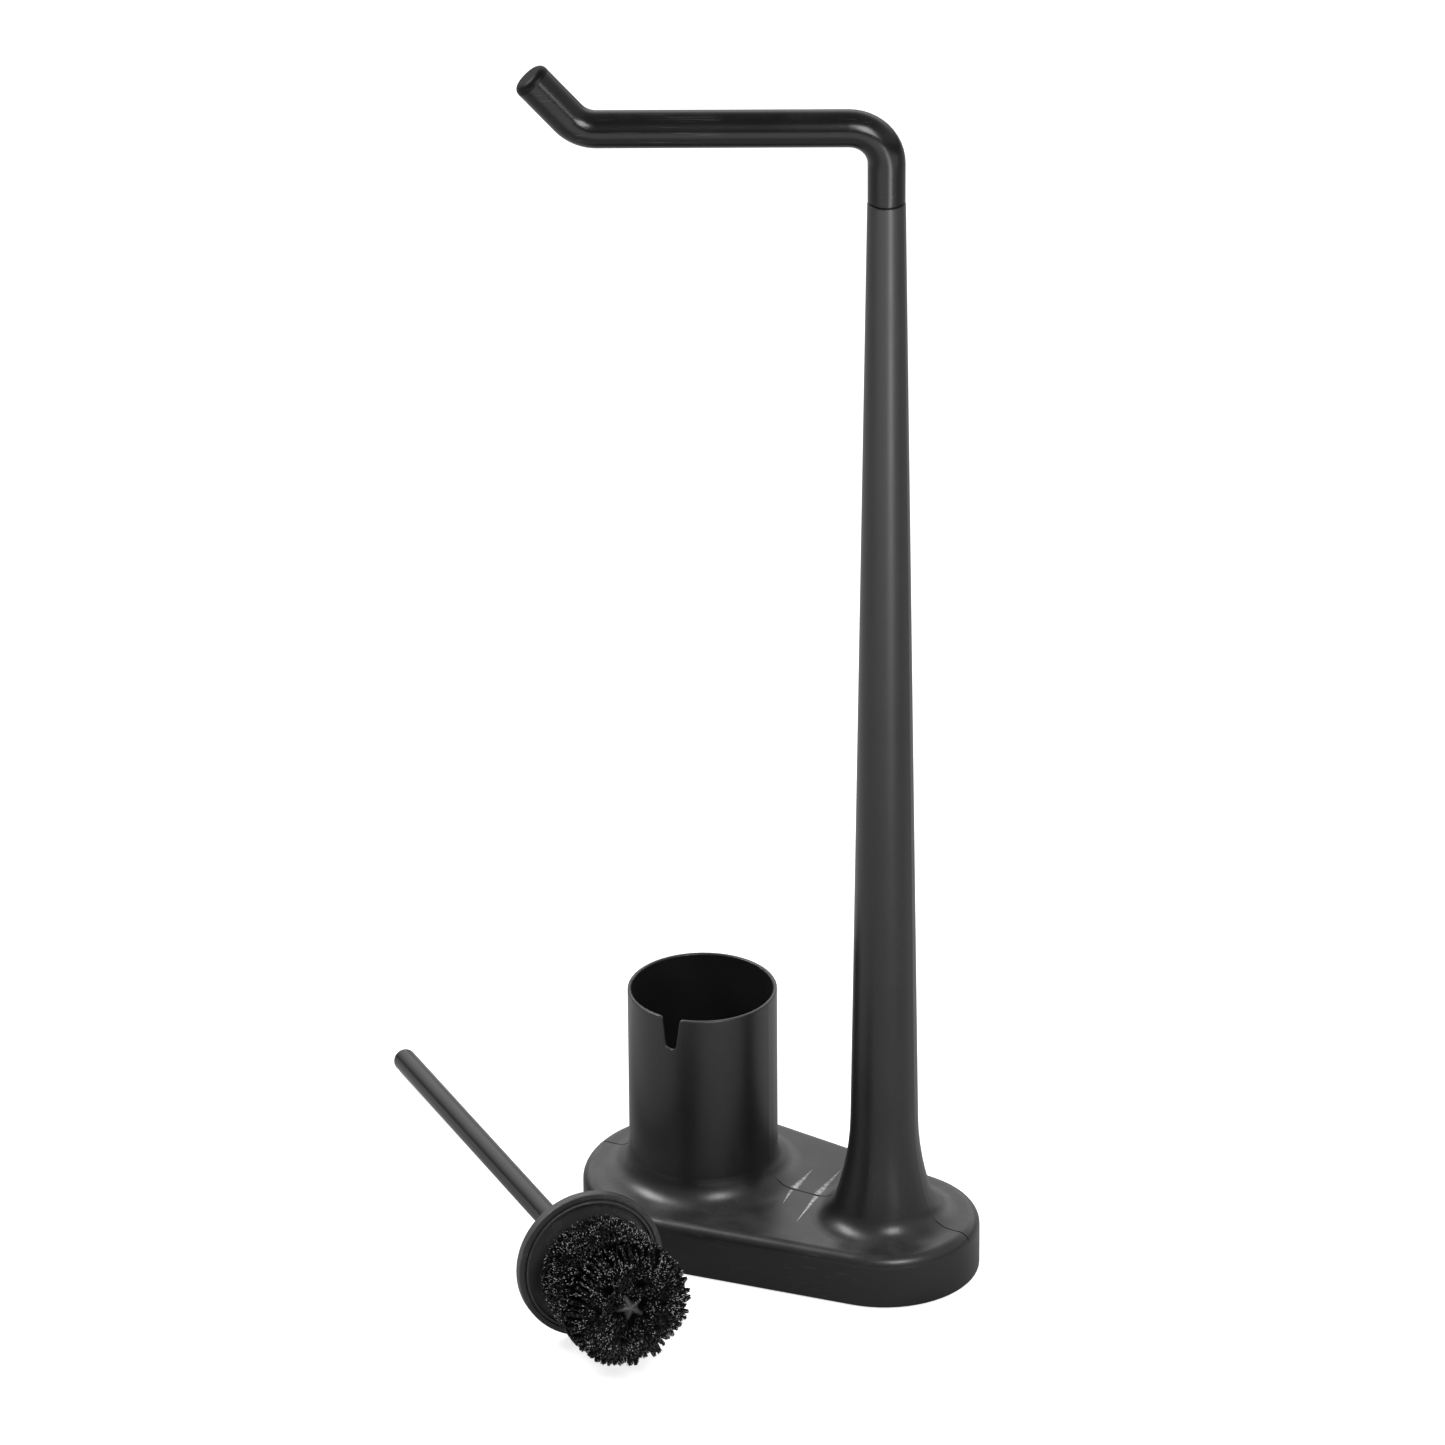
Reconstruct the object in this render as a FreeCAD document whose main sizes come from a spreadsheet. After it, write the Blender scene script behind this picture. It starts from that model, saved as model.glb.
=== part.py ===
"""Free-standing toilet brush holder with a roll arm, in millimetres.

Frame: the origin is on the floor under the axis of the brush cup. +X runs along the base to the
column, +Z is up and the front of the stand faces -Y.
"""
import FreeCAD, Part
import math
import os

import Sketcher
from FreeCAD import Placement, Rotation, Vector

doc = FreeCAD.newDocument("BrushStand")
sheet = doc.addObject("Spreadsheet::Sheet", "Sizes")


class Size:
    """A length together with the spreadsheet formula that gives it."""

    def __init__(self, formula, value):
        self.formula = formula
        self.value = value

    def joined(self, sign, other, value):
        """The formula of two sizes joined by a sign."""
        text = other.formula if isinstance(other, Size) else str(other)
        return Size(f"({self.formula} {sign} {text})", value)

    def __add__(self, other):
        return self.joined("+", other, self.value + float(other))

    def __sub__(self, other):
        return self.joined("-", other, self.value - float(other))

    def __mul__(self, other):
        return self.joined("*", other, self.value * float(other))

    def __neg__(self):
        return self * -1

    def __float__(self):
        return float(self.value)


def size(alias, value):
    """Write one driving dimension to the sheet and return it."""
    size.row += 1
    sheet.set(f"A{size.row}", alias)
    sheet.set(f"B{size.row}", str(value))
    sheet.setAlias(f"B{size.row}", alias)
    return Size(f"Sizes.{alias}", value)


size.row = 0

# Base: two round ends joined by straight sides
cup_spacing = size("cup_spacing", 123.0)
cup_end_radius = size("cup_end_radius", 73.5)
column_end_radius = size("column_end_radius", 57.5)
base_height = size("base_height", 33.5)
base_edge_round = size("base_edge_round", 7.0)
shell_lift = size("shell_lift", 1.0)
shell_wall = size("shell_wall", 2.8)

# Brush cup
cup_radius = size("cup_radius", 45.0)
cup_height = size("cup_height", 157.0)
cup_wall = size("cup_wall", 2.4)
cup_floor = size("cup_floor", 34.0)
cup_foot_round = size("cup_foot_round", 16.0)
rim_round = size("rim_round", 0.9)
notch_half_width = size("notch_half_width", 5.8)
notch_root_radius = size("notch_root_radius", 3.5)
notch_depth = size("notch_depth", 20.8)
notch_corner_round = size("notch_corner_round", 2.2)
NOTCH_TURN = 3.0

# Column
column_height = size("column_height", 689.0)
column_top_radius = size("column_top_radius", 11.0)
column_foot_radius = size("column_foot_radius", 20.3)
foot_start = size("foot_start", 99.5)
foot_curl = size("foot_curl", 16.0)
foot_reach = size("foot_reach", 24.7)
bore_foot_radius = size("bore_foot_radius", 17.4)
bore_mouth_radius = size("bore_mouth_radius", 30.0)

# Closing parts under the base
pad_thickness = size("pad_thickness", 1.5)
plate_thickness = size("plate_thickness", 2.5)
plate_gap = size("plate_gap", 0.4)
ballast_height = size("ballast_height", 15.0)
ballast_gap = size("ballast_gap", 5.0)
boss_radius = size("boss_radius", 4.5)
screw_radius = size("screw_radius", 1.5)
screw_head_radius = size("screw_head_radius", 3.0)
screw_head_height = size("screw_head_height", 1.5)
screw_reach = size("screw_reach", 9.0)
boss_back = size("boss_back", 29.0)
boss_side = size("boss_side", 50.0)
boss_middle = size("boss_middle", 70.0)
boss_front = size("boss_front", 167.0)

# Roll arm and its swivel
arm_radius = size("arm_radius", 10.8)
arm_wall = size("arm_wall", 1.5)
arm_axis_height = size("arm_axis_height", 734.2)
arm_bend_radius = size("arm_bend_radius", 21.3)
arm_reach = size("arm_reach", 163.4)
tip_length = size("tip_length", 28.7)
tip_cap_length = size("tip_cap_length", 5.0)
tip_cap_round = size("tip_cap_round", 4.2)
tip_plug_length = size("tip_plug_length", 9.0)
arm_bearing_gap = size("arm_bearing_gap", 0.2)
washer_thickness = size("washer_thickness", 1.2)
washer_radius = size("washer_radius", 9.2)
socket_radius = size("socket_radius", 8.6)
socket_length = size("socket_length", 60.0)
spigot_radius = size("spigot_radius", 6.5)
spigot_clearance = size("spigot_clearance", 0.05)
spigot_length = size("spigot_length", 54.0)
spigot_grip = size("spigot_grip", 18.0)
ARM_TURN = 27.8
TIP_RISE = 48.0

# Brush, drawn upright: z = 0 is the lid's top face, the handle goes up and the head hangs down
handle_radius = size("handle_radius", 7.2)
handle_wall = size("handle_wall", 1.0)
handle_length = size("handle_length", 342.0)
handle_cap_length = size("handle_cap_length", 4.0)
handle_cap_round = size("handle_cap_round", 3.6)
lid_radius = size("lid_radius", 45.0)
lid_thickness = size("lid_thickness", 7.0)
lid_edge_round = size("lid_edge_round", 1.5)
lid_web = size("lid_web", 4.6)
groove_outer_radius = size("groove_outer_radius", 41.6)
groove_floor = size("groove_floor", 5.6)
lip_outer_radius = size("lip_outer_radius", 40.8)
lip_inner_radius = size("lip_inner_radius", 39.2)
lip_depth = size("lip_depth", 8.4)
lip_round = size("lip_round", 0.5)
hub_radius = size("hub_radius", 10.0)
hub_depth = size("hub_depth", 12.0)
stem_radius = size("stem_radius", 3.0)
stem_reach_up = size("stem_reach_up", 24.0)
stem_reach_down = size("stem_reach_down", 34.0)
insert_length = size("insert_length", 30.0)
core_radius = size("core_radius", 8.0)
core_tip_radius = size("core_tip_radius", 4.2)
core_end = size("core_end", 69.7)
head_radius = size("head_radius", 36.0)
head_top = size("head_top", 17.0)
head_shoulder = size("head_shoulder", 62.0)
head_end = size("head_end", 80.0)
head_rim_radius = size("head_rim_radius", 38.5)
head_end_radius = size("head_end_radius", 33.0)
BRUSH_X = 2.2
BRUSH_Y = -149.7
BRUSH_HEADING = 138.8
FLOOR_CLEARANCE = 0.05

ZERO = Size("0", 0.0)
BOSS_PLACES = [(-boss_back, boss_side), (-boss_back, -boss_side), (boss_middle, boss_side * 0.96),
               (boss_middle, -boss_side * 0.96), (boss_front, ZERO)]
plate_top = pad_thickness + plate_thickness
shell_inside = base_height - shell_wall
arm_foot = column_height + arm_bearing_gap + washer_thickness
doc.recompute()


# Sketches and features

def new_body(label, placement=None):
    """A body whose label names its file."""
    body = doc.addObject("PartDesign::Body", label)
    body.Label = label
    if placement:
        body.Placement = placement
    return body


def new_sketch(body, role, level=ZERO, shift=ZERO, turn=0.0):
    """A sketch on one of the body's own origin planes, raised, shifted along its x and turned."""
    sketch = body.newObject("Sketcher::SketchObject", body.Label + "_sketch")
    plane = next(part for part in body.Origin.OriginFeatures if part.Role == role)
    sketch.AttachmentSupport = [(plane, "")]
    sketch.MapMode = "FlatFace"
    spin_axis = Vector(0, 0, 1) if role == "XY_Plane" else Vector(0, 1, 0)
    sketch.AttachmentOffset = Placement(Vector(0, 0, 0), Rotation(spin_axis, turn))
    sketch.setExpression("AttachmentOffset.Base.x", shift.formula)
    sketch.setExpression("AttachmentOffset.Base.z", level.formula)
    return sketch


def bind(sketch, kind, *references, value):
    """Add a dimension to a sketch and bind it to the sheet."""
    index = sketch.addConstraint(Sketcher.Constraint(kind, *references, float(value)))
    sketch.setExpression(f"Constraints[{index}]", value.formula)


def pin_point(sketch, geometry, end, corner):
    """Fix a point's distances from the sketch's origin."""
    for kind, axis, value in (("DistanceX", -2, corner[0]), ("DistanceY", -1, corner[1])):
        if float(value) == 0.0:
            sketch.addConstraint(Sketcher.Constraint("PointOnObject", geometry, end, axis))
        else:
            bind(sketch, kind, -1, 1, geometry, end, value=value)


def add_outline(sketch, corners):
    """A closed outline of straight sides through the corners."""
    count = len(corners)
    points = [Vector(float(x), float(y), 0) for x, y in corners]
    first = sketch.GeometryCount
    for index in range(count):
        sketch.addGeometry(Part.LineSegment(points[index], points[(index + 1) % count]), False)
    for index in range(count):
        following = first + (index + 1) % count
        sketch.addConstraint(Sketcher.Constraint("Coincident", first + index, 2, following, 1))
        pin_point(sketch, first + index, 1, corners[index])


def add_circle(sketch, centre, radius):
    """A circle with its centre and radius bound to the sheet."""
    middle = Vector(float(centre[0]), float(centre[1]), 0)
    index = sketch.addGeometry(Part.Circle(middle, Vector(0, 0, 1), float(radius)), False)
    pin_point(sketch, index, 3, centre)
    bind(sketch, "Radius", index, value=radius)


def add_base_outline(sketch, cup_end, column_end):
    """Two arcs round the cup and column axes, joined by the straight lines that touch both."""
    spread = float(cup_spacing)
    lean = math.acos((float(cup_end) - float(column_end)) / spread)
    up = Vector(math.cos(lean), math.sin(lean), 0)
    down = Vector(up.x, -up.y, 0)
    far = Vector(spread, 0, 0)
    near_arc = Part.Circle(Vector(0, 0, 0), Vector(0, 0, 1), float(cup_end))
    far_arc = Part.Circle(far, Vector(0, 0, 1), float(column_end))
    sketch.addGeometry(Part.ArcOfCircle(near_arc, lean, 2 * math.pi - lean), False)
    sketch.addGeometry(Part.LineSegment(down * float(cup_end), far + down * float(column_end)), False)
    sketch.addGeometry(Part.ArcOfCircle(far_arc, -lean, lean), False)
    sketch.addGeometry(Part.LineSegment(far + up * float(column_end), up * float(cup_end)), False)
    for index in range(4):
        sketch.addConstraint(Sketcher.Constraint("Tangent", index, 2, (index + 1) % 4, 1))
    pin_point(sketch, 0, 3, (ZERO, ZERO))
    pin_point(sketch, 2, 3, (cup_spacing, ZERO))
    bind(sketch, "Radius", 0, value=cup_end)
    bind(sketch, "Radius", 2, value=column_end)


def pad(body, sketch, length):
    """Raise a sketch into a solid."""
    feature = body.newObject("PartDesign::Pad", body.Label + "_pad")
    feature.Profile = sketch
    feature.setExpression("Length", length.formula)
    doc.recompute()
    return feature


def revolve(body, sketch, kind="PartDesign::Revolution"):
    """Turn a sketch about its own vertical axis, adding or cutting."""
    feature = body.newObject(kind, body.Label + "_turned")
    feature.Profile = sketch
    feature.ReferenceAxis = (sketch, ["V_Axis"])
    feature.Angle = 360
    doc.recompute()
    return feature


def cut(body, sketch, length, upwards=False, both_ways=False):
    """Pocket a sketch and make sure that it removed something."""
    before = body.Shape.Volume
    feature = body.newObject("PartDesign::Pocket", body.Label + "_pocket")
    feature.Profile = sketch
    feature.Reversed = upwards
    feature.Midplane = both_ways
    feature.setExpression("Length", length.formula)
    doc.recompute()
    if body.Shape.Volume > before - 1.0:
        raise RuntimeError(f"{body.Label}: a pocket cut nothing")
    return feature


def round_edges(body, radius, chosen):
    """Fillet the edges of the body's tip for which chosen(edge) is true."""
    base = body.Tip
    names = [f"Edge{n}" for n, edge in enumerate(base.Shape.Edges, 1) if chosen(edge)]
    feature = body.newObject("PartDesign::Fillet", body.Label + "_round")
    feature.Base = (base, names)
    feature.setExpression("Radius", radius.formula)
    doc.recompute()
    return feature


def lies_at(edge, level):
    """True for an edge that lies wholly at one height."""
    box = edge.BoundBox
    return abs(box.ZMin - level) < 0.01 and abs(box.ZMax - level) < 0.01


def turned_body(label, corners, placement=None):
    """A round piece: the outline in corners turned about the body's z axis."""
    body = new_body(label, placement)
    sketch = new_sketch(body, "XZ_Plane")
    add_outline(sketch, corners)
    revolve(body, sketch)
    return body


# Stand: base cover, cup and column in one moulding

def add_cup_outside(body):
    """The cup's wall, with its round foot running out flat on the base."""
    sketch = new_sketch(body, "XZ_Plane")
    start = shell_lift + shell_wall
    foot_radius = cup_radius + cup_foot_round
    corners = [(ZERO, start), (foot_radius, start), (foot_radius, base_height),
               (cup_radius, base_height + cup_foot_round), (cup_radius, cup_height), (ZERO, cup_height)]
    points = [Vector(float(x), float(y), 0) for x, y in corners]
    middle = Vector(points[2].x, points[3].y, 0)
    bulge = Part.Circle(middle, Vector(0, 0, 1), float(cup_foot_round))
    for index, point in enumerate(points):
        following = points[(index + 1) % len(points)]
        arc = Part.ArcOfCircle(bulge, math.pi, 1.5 * math.pi)
        side = arc if index == 2 else Part.LineSegment(point, following)
        sketch.addGeometry(side, False)
    joins = [(0, 2, 1, 1), (1, 2, 2, 2), (2, 1, 3, 1), (3, 2, 4, 1), (4, 2, 5, 1), (5, 2, 0, 1)]
    for join in joins:
        sketch.addConstraint(Sketcher.Constraint("Coincident", *join))
    for index, corner in enumerate(corners):
        side, end = (1, 2) if index == 2 else (index, 1)
        pin_point(sketch, side, end, corner)
    bind(sketch, "DistanceX", -1, 1, 2, 3, value=foot_radius)
    revolve(body, sketch)


def add_column_outside(body):
    """The tapering column, flaring in two arcs until it lies flat on the base."""
    sketch = new_sketch(body, "XZ_Plane", shift=cup_spacing)
    start = float(shell_lift + shell_wall)
    taper = math.atan2(float(column_foot_radius - column_top_radius), float(column_height - foot_start))
    rise = float(foot_start - base_height)
    reach = float(foot_reach)
    curl = float(foot_curl)
    sweep = (reach ** 2 + rise ** 2 - 2 * rise * curl) / (2 * reach - 2 * curl)
    foot_end = float(column_foot_radius) + reach
    high_middle = Vector(float(column_foot_radius) + sweep, float(foot_start), 0)
    low_middle = Vector(foot_end, float(base_height) + curl, 0)
    meeting = math.atan2(low_middle.y - high_middle.y, low_middle.x - high_middle.x)
    high_arc = Part.Circle(high_middle, Vector(0, 0, 1), sweep)
    low_arc = Part.Circle(low_middle, Vector(0, 0, 1), curl)
    top = Vector(float(column_top_radius), float(column_height), 0)
    knee = Vector(float(column_foot_radius), float(foot_start), 0)
    edge = Vector(foot_end, float(base_height), 0)
    sketch.addGeometry(Part.LineSegment(top, knee), False)
    sketch.addGeometry(Part.ArcOfCircle(high_arc, math.pi + taper, meeting + 2 * math.pi), False)
    sketch.addGeometry(Part.ArcOfCircle(low_arc, meeting + 2 * math.pi, 1.5 * math.pi), False)
    sketch.addGeometry(Part.LineSegment(edge, Vector(edge.x, start, 0)), False)
    sketch.addGeometry(Part.LineSegment(Vector(edge.x, start, 0), Vector(0, start, 0)), False)
    sketch.addGeometry(Part.LineSegment(Vector(0, start, 0), Vector(0, top.y, 0)), False)
    sketch.addGeometry(Part.LineSegment(Vector(0, top.y, 0), top), False)
    sketch.addConstraint(Sketcher.Constraint("Tangent", 0, 2, 1, 1))
    sketch.addConstraint(Sketcher.Constraint("Tangent", 1, 2, 2, 1))
    for join in ((2, 2, 3, 1), (3, 2, 4, 1), (4, 2, 5, 1), (5, 2, 6, 1), (6, 2, 0, 1)):
        sketch.addConstraint(Sketcher.Constraint("Coincident", *join))
    pin_point(sketch, 0, 1, (column_top_radius, column_height))
    pin_point(sketch, 0, 2, (column_foot_radius, foot_start))
    pin_point(sketch, 3, 1, (column_foot_radius + foot_reach, base_height))
    sketch.addConstraint(Sketcher.Constraint("Vertical", 2, 3, 2, 2))
    sketch.addConstraint(Sketcher.Constraint("Vertical", 3))
    pin_point(sketch, 5, 1, (ZERO, shell_lift + shell_wall))
    sketch.addConstraint(Sketcher.Constraint("Horizontal", 4))
    sketch.addConstraint(Sketcher.Constraint("Vertical", 5))
    sketch.addConstraint(Sketcher.Constraint("Horizontal", 6))
    bind(sketch, "Radius", 2, value=foot_curl)
    revolve(body, sketch)


def cut_notch(body):
    """The slot in the cup's front wall: straight sides that narrow to a round root."""
    sketch = new_sketch(body, "XZ_Plane", turn=NOTCH_TURN)
    root = cup_height - notch_depth + notch_root_radius
    half = float(notch_half_width)
    radius = float(notch_root_radius)
    mouth = cup_height + rim_round
    run = float(mouth - root)
    # The side touches the root's circle, so its lean follows from the two widths
    lean = math.atan2(half, run) - math.asin(radius / math.hypot(half, run))
    middle = Vector(0, float(root), 0)
    right = middle + Vector(radius * math.cos(lean), -radius * math.sin(lean), 0)
    left = Vector(-right.x, right.y, 0)
    top_right = Vector(half, float(mouth), 0)
    top_left = Vector(-half, float(mouth), 0)
    circle = Part.Circle(middle, Vector(0, 0, 1), radius)
    sketch.addGeometry(Part.LineSegment(top_left, left), False)
    sketch.addGeometry(Part.ArcOfCircle(circle, math.pi + lean, 2 * math.pi - lean), False)
    sketch.addGeometry(Part.LineSegment(right, top_right), False)
    sketch.addGeometry(Part.LineSegment(top_right, top_left), False)
    sketch.addConstraint(Sketcher.Constraint("Tangent", 0, 2, 1, 1))
    sketch.addConstraint(Sketcher.Constraint("Tangent", 1, 2, 2, 1))
    sketch.addConstraint(Sketcher.Constraint("Coincident", 2, 2, 3, 1))
    sketch.addConstraint(Sketcher.Constraint("Coincident", 3, 2, 0, 1))
    pin_point(sketch, 1, 3, (ZERO, root))
    bind(sketch, "Radius", 1, value=notch_root_radius)
    pin_point(sketch, 0, 1, (-notch_half_width, mouth))
    pin_point(sketch, 2, 2, (notch_half_width, mouth))
    # Reversed on the XZ plane, the pocket runs forwards, towards -Y
    cut(body, sketch, cup_radius + cup_foot_round, upwards=True)


def make_stand_shell():
    """Base cover, brush cup and column, open underneath."""
    body = new_body("stand_shell")
    floor = new_sketch(body, "XY_Plane", level=shell_lift)
    add_base_outline(floor, cup_end_radius, column_end_radius)
    pad(body, floor, base_height - shell_lift)
    round_edges(body, base_edge_round, lambda edge: lies_at(edge, float(base_height)))
    add_cup_outside(body)
    add_column_outside(body)

    hollow = new_sketch(body, "XY_Plane", level=shell_lift)
    add_base_outline(hollow, cup_end_radius - shell_wall, column_end_radius - shell_wall)
    cut(body, hollow, shell_inside - shell_lift, upwards=True)
    round_edges(body, base_edge_round - shell_wall, lambda edge: lies_at(edge, float(shell_inside)))

    cup_hollow = new_sketch(body, "XZ_Plane")
    inner = cup_radius - cup_wall
    add_outline(cup_hollow, [(ZERO, cup_floor), (inner, cup_floor), (inner, cup_height + cup_wall),
                             (ZERO, cup_height + cup_wall)])
    revolve(body, cup_hollow, "PartDesign::Groove")

    bore = new_sketch(body, "XZ_Plane", shift=cup_spacing)
    middle_radius = bore_foot_radius + foot_reach * 0.2
    socket_floor = column_height - socket_length
    add_outline(bore, [(ZERO, shell_inside - shell_wall), (bore_mouth_radius, shell_inside - shell_wall),
                       (middle_radius, base_height + foot_curl), (bore_foot_radius, foot_start),
                       (socket_radius, socket_floor), (socket_radius, column_height + shell_wall),
                       (ZERO, column_height + shell_wall)])
    revolve(body, bore, "PartDesign::Groove")

    cut_notch(body)
    bosses = new_sketch(body, "XY_Plane", level=plate_top)
    pilots = new_sketch(body, "XY_Plane", level=plate_top)
    for place in BOSS_PLACES:
        add_circle(bosses, place, boss_radius)
        add_circle(pilots, place, screw_radius)
    pad(body, bosses, base_height - plate_top - shell_wall * 0.5)
    cut(body, pilots, screw_reach, upwards=True)
    round_edges(body, notch_corner_round, is_notch_corner)
    round_edges(body, rim_round, is_cup_lip)
    round_edges(body, rim_round * 0.6, is_column_top)
    return body


def in_notch(edge):
    """True for an edge within the notch's width, at the front of the cup."""
    box = edge.BoundBox
    high = box.ZMin > float(cup_height - notch_depth) - 0.5
    return high and box.YMax < 0 and box.XLength < 2.5 * float(notch_half_width)


def is_notch_corner(edge):
    """The two short edges where the notch's sides meet the top of the rim."""
    box = edge.BoundBox
    through = box.YLength > float(cup_wall) * 0.8 and box.XLength < float(cup_wall)
    return lies_at(edge, float(cup_height)) and in_notch(edge) and through


def is_cup_lip(edge):
    """The cup's top edge, inside and out, and the edges of the notch."""
    on_rim = lies_at(edge, float(cup_height)) and edge.BoundBox.XMax < float(cup_spacing) * 0.6
    middle = edge.valueAt((edge.FirstParameter + edge.LastParameter) / 2)
    from_axis = math.hypot(middle.x, middle.y)
    on_wall = min(abs(from_axis - float(cup_radius)), abs(from_axis - float(cup_radius - cup_wall))) < 0.02
    return on_wall and (on_rim or in_notch(edge))


def is_column_top(edge):
    """The outer top edge of the column."""
    wide = edge.BoundBox.XLength > 2 * float(socket_radius) + 1
    return lies_at(edge, float(column_height)) and wide


# Base plate, ballast, pad and screws

def make_closing_parts():
    """The pieces that close and weight the base, and the sheet it stands on."""
    inset = shell_wall + plate_gap
    plate = new_body("base_plate")
    outline = new_sketch(plate, "XY_Plane", level=pad_thickness)
    add_base_outline(outline, cup_end_radius - inset, column_end_radius - inset)
    pad(plate, outline, plate_thickness)
    sinks = new_sketch(plate, "XY_Plane", level=pad_thickness)
    holes = new_sketch(plate, "XY_Plane", level=pad_thickness)
    for place in BOSS_PLACES:
        add_circle(sinks, place, screw_head_radius + plate_gap)
        add_circle(holes, place, screw_radius + plate_gap)
    cut(plate, sinks, screw_head_height, upwards=True)
    cut(plate, holes, plate_thickness, upwards=True)

    ballast = new_body("ballast_weight")
    outline = new_sketch(ballast, "XY_Plane", level=plate_top)
    inset = shell_wall + ballast_gap
    add_base_outline(outline, cup_end_radius - inset, column_end_radius - inset)
    pad(ballast, outline, ballast_height)
    wells = new_sketch(ballast, "XY_Plane", level=plate_top)
    for place in BOSS_PLACES:
        add_circle(wells, place, boss_radius + plate_gap)
    cut(ballast, wells, ballast_height, upwards=True)

    sheet_pad = new_body("non_slip_pad")
    outline = new_sketch(sheet_pad, "XY_Plane")
    inset = shell_wall + plate_gap * 3
    add_base_outline(outline, cup_end_radius - inset, column_end_radius - inset)
    pad(sheet_pad, outline, pad_thickness)

    screw = turned_body("single_screw", [
        (ZERO, pad_thickness), (screw_head_radius, pad_thickness),
        (screw_head_radius, pad_thickness + screw_head_height * 0.8),
        (screw_radius, pad_thickness + screw_head_height), (screw_radius, plate_top + screw_reach * 0.8),
        (ZERO, plate_top + screw_reach)])
    group = doc.addObject("Part::Feature", "plate_screws")
    group.Label = "plate_screws"
    copies = []
    for x, y in BOSS_PLACES:
        copy = screw.Shape.copy()
        copy.translate(Vector(float(x), float(y), 0))
        copies.append(copy)
    group.Shape = Part.makeCompound(copies)
    return [plate, ballast, sheet_pad, group]


# Roll arm: drawn with local +X along the arm, then turned towards the front

def add_arm_path(body):
    """The arm's centre line: up, over the elbow, along, and up the bent tip."""
    path = new_sketch(body, "XZ_Plane")
    radius = float(arm_bend_radius)
    level = float(arm_axis_height)
    reach = float(arm_reach)
    rise = math.radians(TIP_RISE)
    elbow = Vector(radius, level - radius, 0)
    crook = Vector(reach, level + radius, 0)
    bend_end = crook + Vector(math.sin(rise), -math.cos(rise), 0) * radius
    tip = bend_end + Vector(math.cos(rise), math.sin(rise), 0) * float(tip_length)
    elbow_circle = Part.Circle(elbow, Vector(0, 0, 1), radius)
    crook_circle = Part.Circle(crook, Vector(0, 0, 1), radius)
    foot = Vector(0, float(arm_foot), 0)
    path.addGeometry(Part.LineSegment(foot, Vector(0, elbow.y, 0)), False)
    path.addGeometry(Part.ArcOfCircle(elbow_circle, 0.5 * math.pi, math.pi), False)
    path.addGeometry(Part.LineSegment(Vector(radius, level, 0), Vector(reach, level, 0)), False)
    path.addGeometry(Part.ArcOfCircle(crook_circle, 1.5 * math.pi, 1.5 * math.pi + rise), False)
    path.addGeometry(Part.LineSegment(bend_end, tip), False)
    for join in ((0, 2, 1, 2), (1, 1, 2, 1), (2, 2, 3, 1), (3, 2, 4, 1)):
        path.addConstraint(Sketcher.Constraint("Tangent", *join))
    pin_point(path, 0, 1, (ZERO, arm_foot))
    path.addConstraint(Sketcher.Constraint("Vertical", 0))
    path.addConstraint(Sketcher.Constraint("Horizontal", 2))
    pin_point(path, 2, 2, (arm_reach, arm_axis_height))
    bind(path, "Radius", 1, value=arm_bend_radius)
    bind(path, "Radius", 3, value=arm_bend_radius)
    bind(path, "Distance", 4, value=tip_length)
    path.addConstraint(Sketcher.Constraint("Angle", 4, rise))
    return path, tip


def make_arm_parts():
    """The swivelling arm, its cap, its spigot, and the washer it turns on."""
    turn = Rotation(Vector(0, 0, 1), 180.0 + ARM_TURN)
    stance = Placement(Vector(float(cup_spacing), 0, 0), turn)
    tube = new_body("roll_arm", stance)
    section = new_sketch(tube, "XY_Plane", level=arm_foot)
    add_circle(section, (ZERO, ZERO), arm_radius)
    add_circle(section, (ZERO, ZERO), arm_radius - arm_wall)
    path, tip = add_arm_path(tube)
    sweep = tube.newObject("PartDesign::AdditivePipe", "roll_arm_sweep")
    sweep.Profile = section
    sweep.Spine = path
    doc.recompute()

    # The cap's own z axis continues the tip's direction
    lean = Rotation(Vector(0, 1, 0), 90.0 - TIP_RISE)
    at_tip = stance * Placement(Vector(tip.x, 0, tip.y), lean)
    inside = arm_radius - arm_wall
    cap = turned_body("arm_end_cap", [
        (ZERO, -tip_plug_length), (inside, -tip_plug_length), (inside, ZERO), (arm_radius, ZERO),
        (arm_radius, tip_cap_length), (ZERO, tip_cap_length)], at_tip)
    round_edges(cap, tip_cap_round, is_crown(tip_cap_length))

    spigot_foot = column_height - spigot_length
    spigot = turned_body("arm_spigot", [
        (ZERO, spigot_foot), (spigot_radius, spigot_foot), (spigot_radius, arm_foot),
        (inside, arm_foot), (inside, arm_foot + spigot_grip), (ZERO, arm_foot + spigot_grip)], stance)

    washer_foot = column_height + arm_bearing_gap
    hole = spigot_radius + spigot_clearance
    washer = turned_body("swivel_washer", [
        (hole, washer_foot), (washer_radius, washer_foot), (washer_radius, arm_foot), (hole, arm_foot)],
        stance)

    socket_foot = column_height - socket_length
    socket = turned_body("arm_socket", [
        (hole, socket_foot), (socket_radius, socket_foot), (socket_radius, column_height),
        (hole, column_height)], Placement(Vector(float(cup_spacing), 0, 0), Rotation()))
    return [tube, cap, spigot, washer, socket]


def is_crown(height):
    """A test for the round edge at a turned piece's top, in the piece's own frame."""
    return lambda edge: lies_at(edge, float(height)) and edge.Closed


# Brush

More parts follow.
